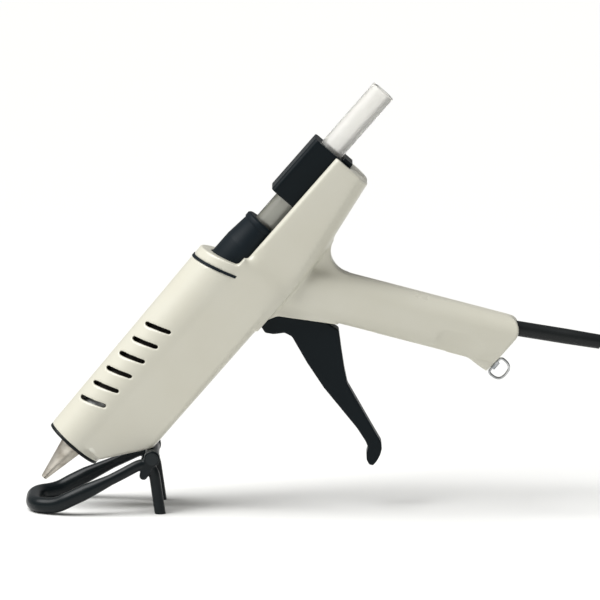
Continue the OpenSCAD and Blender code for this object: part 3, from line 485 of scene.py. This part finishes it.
# The stub in front of the carriage is painted a darker grey, as painted shade.
stub = add(tree, "ShaderNodeMapRange", {"Value": station.outputs["Value"], "From Min": stub_at,
                                        "From Max": stub_at - STUB_EDGE * MM})
stub_painted_shade = add(tree, "ShaderNodeMix", {"Factor": stub.outputs["Result"], "A": milk.outputs["Result"],
                                    "B": linear("#A3A39B")}, data_type="RGBA")
surface(tree, {"Base Color": stub_painted_shade.outputs["Result"], "Roughness": 0.32, "IOR": 1.3,
               "Transmission Weight": 0.8, "Subsurface Weight": 0.3, "Subsurface Radius": (SCATTER,) * 3})
stick = turned([(0, STICK_FROM), (STICK_R, STICK_FROM), (STICK_R, STICK_TO), (0, STICK_TO)],
               rounding=0.3, steps=64)
finished("hot_melt_stick", stick, hot_melt, "stick", ["glue_stick"])

# Folding stand: one steel rod bent to a wide loop with two legs, with flattened eyes that turn on a
# riveted pin, and a powder coat all over that is a little orange-peeled.
HINGE = Vector(joints["stand_fold"]["pos_m"])
STAND = Matrix.Translation(HINGE) @ Matrix.Scale(MM, 4)
STAND_H = HINGE.z / MM
ROD_R = 3.5
ARM_R = 5
EYE_HALF = 3.65
EYE_BOSS = 1.1
EYE_AT = 24.4
PIN_R = 2
STAND_REACH = 74.3
BULGE = 31.2
FRONT_Z = ARM_R - STAND_H
ARM_SLEEVE_FROM = 26
ARM_SLEEVE_RUN = 16
TOE_ANGLE = math.radians(244)
TOE_LEN = 12
TOE_R = 2.6
TOE_THICK = 5.4
EYE_WALL = 3


def rod_side(side):
    """Points of one side of the rod from its sole to the middle of the front bar."""
    return [Vector((x, side * y, z)) for x, y, z in (
        (5.6, EYE_AT + 0.2, -STAND_H - 4), (0, EYE_AT, 0), (-24, BULGE - 0.8, -12.2),
        (-50, BULGE, -24.4), (14 - STAND_REACH, BULGE - 3, FRONT_Z + 0.4),
        (-STAND_REACH, BULGE - 11, FRONT_Z))]


def rounded_route(points, cut, steps):
    """The same route with each corner turned into a short curve."""
    route = [points[0]]
    for before, corner, after in zip(points, points[1:], points[2:]):
        start = corner + min(cut, (before - corner).length / 2.2) * (before - corner).normalized()
        end = corner + min(cut, (after - corner).length / 2.2) * (after - corner).normalized()
        for i in range(steps + 1):
            t = i / steps
            route.append((1 - t) ** 2 * start + 2 * t * (1 - t) * corner + t * t * end)
    return route + [points[-1]]


def rod_curve(name, points, radius, unit=MM, swell=None):
    """A round rod or cord along points, as a curve of one open spline; swell widens it point by point."""
    curve = bpy.data.curves.new(name, "CURVE")
    curve.dimensions = "3D"
    curve.bevel_depth = radius * unit
    curve.bevel_resolution = 7
    curve.use_fill_caps = True
    spline = curve.splines.new("POLY")
    spline.points.add(len(points) - 1)
    spline.points.foreach_set("co", [value for p in points for value in (*(p * unit), 1)])
    if swell:
        spline.points.foreach_set("radius", [swell(p) for p in points])
    return linked(name, curve)


def rod_mesh(points, radius, swell=None):
    """The same rod as a closed mesh in millimetres."""
    rod = rod_curve("work", points, radius, 1, swell)
    mesh = bpy.data.meshes.new_from_object(rod.evaluated_get(bpy.context.evaluated_depsgraph_get()))
    bm = bmesh.new()
    bm.from_mesh(mesh)
    curve = rod.data
    bpy.data.objects.remove(rod)
    bpy.data.curves.remove(curve)
    bpy.data.meshes.remove(mesh)
    bmesh.ops.remove_doubles(bm, verts=bm.verts, dist=0.001)
    bmesh.ops.recalc_face_normals(bm, faces=bm.faces)
    return bm


def disc_across(bm, place, radius, width):
    """Adds a round disc whose axis lies across the tool."""
    turn = Matrix.Translation(place) @ Matrix.Rotation(math.pi / 2, 4, "X")
    bmesh.ops.create_cone(bm, cap_ends=True, segments=48, radius1=radius, radius2=radius, depth=width,
                          matrix=turn)


def arm_swell(point):
    """The rod wears a thick sleeve round its loop, over the front half of the arms."""
    share = min(1, max(0, (-point.x - ARM_SLEEVE_FROM) / ARM_SLEEVE_RUN))
    return 1 + share * (ARM_R / ROD_R - 1)


bent = rounded_route(rod_side(-1) + rod_side(1)[::-1], cut=14, steps=12)
rod = rod_mesh(bent, ROD_R, arm_swell)
eye_w = 2 * EYE_HALF + EYE_BOSS
toe_end = TOE_LEN * Vector((math.cos(TOE_ANGLE), 0, math.sin(TOE_ANGLE)))
for side in (-1, 1):
    eye = Vector((0, side * (EYE_AT + EYE_BOSS / 2), 0))
    disc_across(rod, eye, PIN_R + EYE_WALL, eye_w)
    disc_across(rod, eye + toe_end, TOE_R, eye_w)
    lie = Matrix.Translation(eye + toe_end / 2) @ Matrix.Rotation(-TOE_ANGLE, 4, "Y")
    bmesh.ops.create_cube(rod, size=1, matrix=lie @ Matrix.Diagonal((TOE_LEN, eye_w, TOE_THICK, 1)))
rod = remeshed(rod, voxel=0.45)
smoothed(rod, passes=4)
foot = bmesh.ops.bisect_plane(rod, geom=rod.verts[:] + rod.edges[:] + rod.faces[:],
                              plane_co=(0, 0, -STAND_H), plane_no=(0, 0, -1), clear_outer=True)
bmesh.ops.holes_fill(rod, edges=[e for e in foot["geom_cut"] if isinstance(e, bmesh.types.BMEdge)])
powder_coat = moulded_plastic("black_powder_coat", "#070F12", "#0B1417", roughness=0.34, grain_mm=1.2,
                              grain_depth_mm=0.03, flow_mm=18, gloss=0.2, edge_colour="#222729")
finished("stand_loop", rod, powder_coat, "stand", ["stand_rod"], STAND)
dress(powder_coat, "stand_pin", "stand_washers", "stand_bracket")

# Return spring: music wire wound to a coil between a rib of the housing and the draw bar.
SPRING_WIRE = 0.4
SPRING_TURNS = 9
SPRING_STEPS = 24
cad_spring = copied("return_spring")
low, high = ([pick(vert.co[axis] for vert in cad_spring.verts) for axis in range(3)] for pick in (min, max))
cad_spring.free()
spring_from, spring_run = low[0] + SPRING_WIRE, high[0] - low[0] - 2 * SPRING_WIRE
spring_axis, spring_r = (low[2] + high[2]) / 2, (high[1] - low[1]) / 2 - SPRING_WIRE
spring_points = SPRING_TURNS * SPRING_STEPS
windings = []
for i in range(spring_points + 1):
    angle = 2 * math.pi * i / SPRING_STEPS
    windings.append(Vector((spring_from + spring_run * i / spring_points,
                            spring_r * math.cos(angle), spring_axis + spring_r * math.sin(angle))))
spring = finished("pull_spring", rod_mesh(windings, SPRING_WIRE), bright_steel, "housing", ["return_spring"])
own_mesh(spring)

# Wiring in the handle: a terminal block moulded of white nylon, with plated screws, and two leads in
# braided glass sleeving that run up to the heater.
white_nylon = moulded_plastic("white_nylon", "#E6E2D4", "#DDD8C8", roughness=0.45, grain_mm=0.5,
                              grain_depth_mm=0.02)
glass_sleeving = moulded_plastic("brown_glass_sleeving", "#7A4A2A", "#5E3820", roughness=0.8, grain_mm=0.6,
                                 grain_depth_mm=0.1, flow_mm=5)
dress(white_nylon, "terminal_block")
dress(glass_sleeving, "heater_leads")

# Hang loop: bright steel wire bent to a bail, to hang the tool from a hook. Its two ends turn in the eye
# on the butt.
LOOP_AT = Vector(joints["loop_swing"]["pos_m"])
WIRE_R = 0.8
LOOP = Matrix.Translation(LOOP_AT) @ Matrix((STICK_DIR, (0, 1, 0), UP_DIR)).transposed().to_4x4()
bail = [(-0.4, 0, 0), (-6.2, 0, 0), (-6.2, 0, -5.6), (-4.2, 0, -8.6), (0, 0, -9.4), (4.2, 0, -8.6),
        (6.2, 0, -5.6), (6.2, 0, 0), (0.4, 0, 0)]
wire = rod_mesh(rounded_route([Vector(p) for p in bail], cut=2.4, steps=6), WIRE_R)
finished("hang_bail", wire, bright_steel, "hanger", ["hang_loop"],
         LOOP @ Matrix.Scale(MM, 4), sharp=50)

# Strain relief and cord: a tapered rubber sleeve out of the butt, then a round two-core rubber cord. It
# drops to the bench, lies in a tied coil and ends in a two-pin plug.
cord_rubber = moulded_plastic("cord_rubber", "#0D1112", "#131718", roughness=0.45, grain_mm=0.5,
                              grain_depth_mm=0.02, flow_mm=16, ior=1.5, gloss=0.3)
CORD_DIP = math.radians(9.3)
SLEEVE_END = Vector((205.469, 0, 104.596))
SLEEVE_LEN = 50
LEAD_DIR = Vector((math.cos(CORD_DIP), 0, -math.sin(CORD_DIP)))
CORD_R = 3.6
CORD = Matrix.Translation((SLEEVE_END - SLEEVE_LEN * LEAD_DIR) * MM)
CORD = CORD @ Matrix.Rotation(CORD_DIP, 4, "Y") @ Matrix.Scale(MM, 4)
SLEEVE_PROFILE = [(3.63, -12), (6.6, -12), (6.6, -9.4), (4.8, -9.4), (4.8, 28), (4.5, SLEEVE_LEN),
                  (3.63, SLEEVE_LEN)]
sleeve = turned(SLEEVE_PROFILE, rounding=0.4, steps=64)
boot = finished("cord_boot", sleeve, cord_rubber, "housing", ["strain_relief"], CORD)
dress(cord_rubber, "cord_inner")

LIE_Z = 4.6
PLUG_THICK = 13.6
PLUG_GAP = 0.3
COIL_R = 51.5
COIL_STEP = 7.9
COIL_LAYER = 7.9
COIL_TURNS = 5.6
COIL_CLIMB = 0.5
COIL_STEPS = 48
COIL_STRAIGHT = 2
LEAD_STRAIGHT = 8
LEAD_REACH = 88
LEAD_SIDE = -32.5
LEAD_ROUTE = [(17, 0.957, 0.015), (25, 0.9, 0.06), (31, 0.83, 0.13), (35, 0.745, 0.21), (38.5, 0.62, 0.34),
              (42, 0.49, 0.48), (45.5, 0.36, 0.61), (49, 0.235, 0.75), (53.5, 0.14, 0.85),
              (60.5, 0.065, 0.93), (69.5, 0.017, 0.985), (79, 0, 1), (LEAD_REACH, 0, 1)]
TAIL_ROUTE = [(-0.77, 0.65, 0), (-0.92, 0.43, 0.055), (-1, 0.21, 0.16), (-1.03, 0, 0.31),
              (-1.01, -0.155, 0.46), (-0.95, -0.3, 0.6), (-0.855, -0.43, 0.72), (-0.73, -0.525, 0.82),
              (-0.585, -0.585, 0.915), (-0.43, -0.605, 1)]
coil_at = Vector((SLEEVE_END.x + LEAD_REACH + COIL_STRAIGHT, LEAD_SIDE + COIL_R, 0))
plug_rise = CORD_R + PLUG_THICK / 2 + PLUG_GAP


def smooth_route(points, steps):
    """A smooth curve through all the points."""
    ends = [2 * points[0] - points[1], *points, 2 * points[-1] - points[-2]]
    route = []
    for a, b, c, d in zip(ends, ends[1:], ends[2:], ends[3:]):
        for i in range(steps):
            t = i / steps
            route.append(b + t / 2 * (c - a + t * (2 * a - 5 * b + 4 * c - d + t * (3 * b - a - 3 * c + d))))
    return route + [points[-1]]


def coil_point(turn):
    """A point on the coil: its turns spiral in on the bench and out again on top."""
    radius = COIL_R - COIL_STEP * (COIL_TURNS / 2 - abs(turn - COIL_TURNS / 2))
    angle = math.radians(360 * turn - 90)
    rise = min(1, max(0, (turn - COIL_TURNS / 2) / COIL_CLIMB + 0.5))
    return coil_at + Vector((radius * math.cos(angle), radius * math.sin(angle), LIE_Z + COIL_LAYER * rise))


lead = [SLEEVE_END, SLEEVE_END + LEAD_STRAIGHT * LEAD_DIR]
lead += [Vector((SLEEVE_END.x + out, side * LEAD_SIDE, LIE_Z + height * (SLEEVE_END.z - LIE_Z)))
         for out, height, side in LEAD_ROUTE]
coil_end = coil_point(COIL_TURNS)
tail = [coil_end] + [coil_at + Vector((x * COIL_R, y * COIL_R, coil_end.z + rise * plug_rise))
                     for x, y, rise in TAIL_ROUTE]
coil = [coil_point(i / COIL_STEPS) for i in range(int(COIL_TURNS * COIL_STEPS) + 1)]
route = smooth_route(lead, steps=5) + coil + smooth_route(tail, steps=4)[1:]
cord = rod_curve("mains_cord", route, CORD_R)
cord.data.materials.append(cord_rubber)
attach(cord, "housing")
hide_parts("cord_lead", "cord_coil")

# Plug: a rubber body moulded round two brass pins, with finger ribs on its flats and rings on its neck.
# Its pins are turned with round ends and tin plated.
PLUG_LEN = 36
RIBS = 5
RIB_FROM = 21
RIB_PITCH = 2.6
RIB_W = 1.4
RIB_H = 1.6
RIB_LEN = 18
RIB_GROWTH = 1.6
RINGS = 4
RING_FROM = 1.6
RING_PITCH = 2.4
RING_R = 7.1
RING_W = 1.4
PIN_AT = 9.5
PRONG_R = 2.4
PRONG_OUT = 19
PRONG_ROOT_R = 3
PRONG_ROOT = 11.8
PLUG = Matrix.Translation(route[-1] * MM) @ Matrix.Scale(MM, 4)
body = copied("plug_body", PLUG)
for face in (-1, 1):
    for rib in range(RIBS):
        spot = Matrix.Translation((RIB_FROM + RIB_PITCH * rib, 0, face * PLUG_THICK / 2))
        size = Matrix.Diagonal((RIB_W, RIB_LEN + RIB_GROWTH * rib, RIB_H, 1))
        bmesh.ops.create_cube(body, size=1, matrix=spot @ size)
for ring in range(RINGS):
    spot = Matrix.Translation((RING_FROM + RING_PITCH * ring, 0, 0)) @ Matrix.Rotation(math.pi / 2, 4, "Y")
    bmesh.ops.create_cone(body, cap_ends=True, segments=48, radius1=RING_R, radius2=RING_R, depth=RING_W,
                          matrix=spot)
body = remeshed(body, voxel=0.4)
smoothed(body, passes=9)
plug_body = finished("mains_plug", body, cord_rubber, "housing", ["plug_body"], PLUG,
                     sharp=None)
tinned_brass = metal("tinned_brass", "#C9C6BC", "#A8A498", roughness=0.3, mark_mm=0.4, stain_mm=4)
prong_from, prong_to = PLUG_LEN - PRONG_ROOT, PLUG_LEN + PRONG_OUT
pins = turned([(0, prong_from), (PRONG_ROOT_R, prong_from), (PRONG_ROOT_R, PLUG_LEN), (PRONG_R, PLUG_LEN),
               (PRONG_R, prong_to), (0, prong_to)], rounding=0.9, steps=48)
bmesh.ops.translate(pins, verts=pins.verts, vec=(0, PIN_AT, 0))
twin = bmesh.ops.duplicate(pins, geom=pins.verts[:] + pins.edges[:] + pins.faces[:])["geom"]
bmesh.ops.translate(pins, verts=verts_of(twin), vec=(0, -2 * PIN_AT, 0))
plug_pins = finished("mains_pins", pins, tinned_brass, "housing", ["plug_pins"], PLUG)

# Cord tie: a flat strap moulded of black nylon, drawn tight round the coil through its own buckle. Its end
# is cut short.
TIE_W = 8
TIE_THICK = 0.9
TIE_ANGLE = 45
TIE_SIDE_GAP = 0.3
TIE_TOP_GAP = 0.2
TIE = Matrix.Translation(coil_at * MM) @ Matrix.Rotation(math.radians(TIE_ANGLE - 90), 4, "Z")
TIE = TIE @ Matrix.Scale(MM, 4)
turns_there = [coil_point(turn + (TIE_ANGLE + 90) / 360) - coil_at for turn in range(int(COIL_TURNS))]
reach = [point.to_2d().length for point in turns_there]
near, far = min(reach) - CORD_R - TIE_SIDE_GAP, max(reach) + CORD_R + TIE_SIDE_GAP
tie_top = LIE_Z + COIL_LAYER + CORD_R + TIE_TOP_GAP
middle = (near + far) / 2
corners = [(middle, TIE_THICK), (far, TIE_THICK), (far, tie_top), (near, tie_top), (near, TIE_THICK),
           (middle, TIE_THICK)]
bends = rounded_route([Vector((0, *corner)) for corner in corners], cut=4.2, steps=6)
strap = bmesh.new()
loop = [strap.verts.new((-TIE_W / 2, point.y, point.z)) for point in bends[:-1]]
rails = [strap.edges.new(pair) for pair in zip(loop, loop[1:] + loop[:1])]
drawn = bmesh.ops.extrude_edge_only(strap, edges=rails)["geom"]
bmesh.ops.translate(strap, verts=verts_of(drawn), vec=(TIE_W, 0, 0))
bmesh.ops.recalc_face_normals(strap, faces=strap.faces)
bmesh.ops.solidify(strap, geom=strap.faces[:], thickness=-TIE_THICK)
buckle = (0, middle + 3, tie_top + 1.4), (TIE_W + 2.6, 6, 2.8)
cut_end = (0, middle - 4.5, tie_top + 1.35), (TIE_W - 0.6, 12, TIE_THICK)
for place, size in (buckle, cut_end):
    lie = Matrix.Translation(place) @ Matrix.Diagonal((*size, 1))
    block = bmesh.ops.create_cube(strap, size=1, matrix=lie)
    edges = {edge for vert in block["verts"] for edge in vert.link_edges}
    bmesh.ops.bevel(strap, geom=list(edges), offset=0.4, offset_type="OFFSET", segments=3, profile=0.5,
                    affect="EDGES", clamp_overlap=True, material=-1)
tie = finished("tie_strap", strap, black_nylon, "housing", ["cord_tie"], TIE)
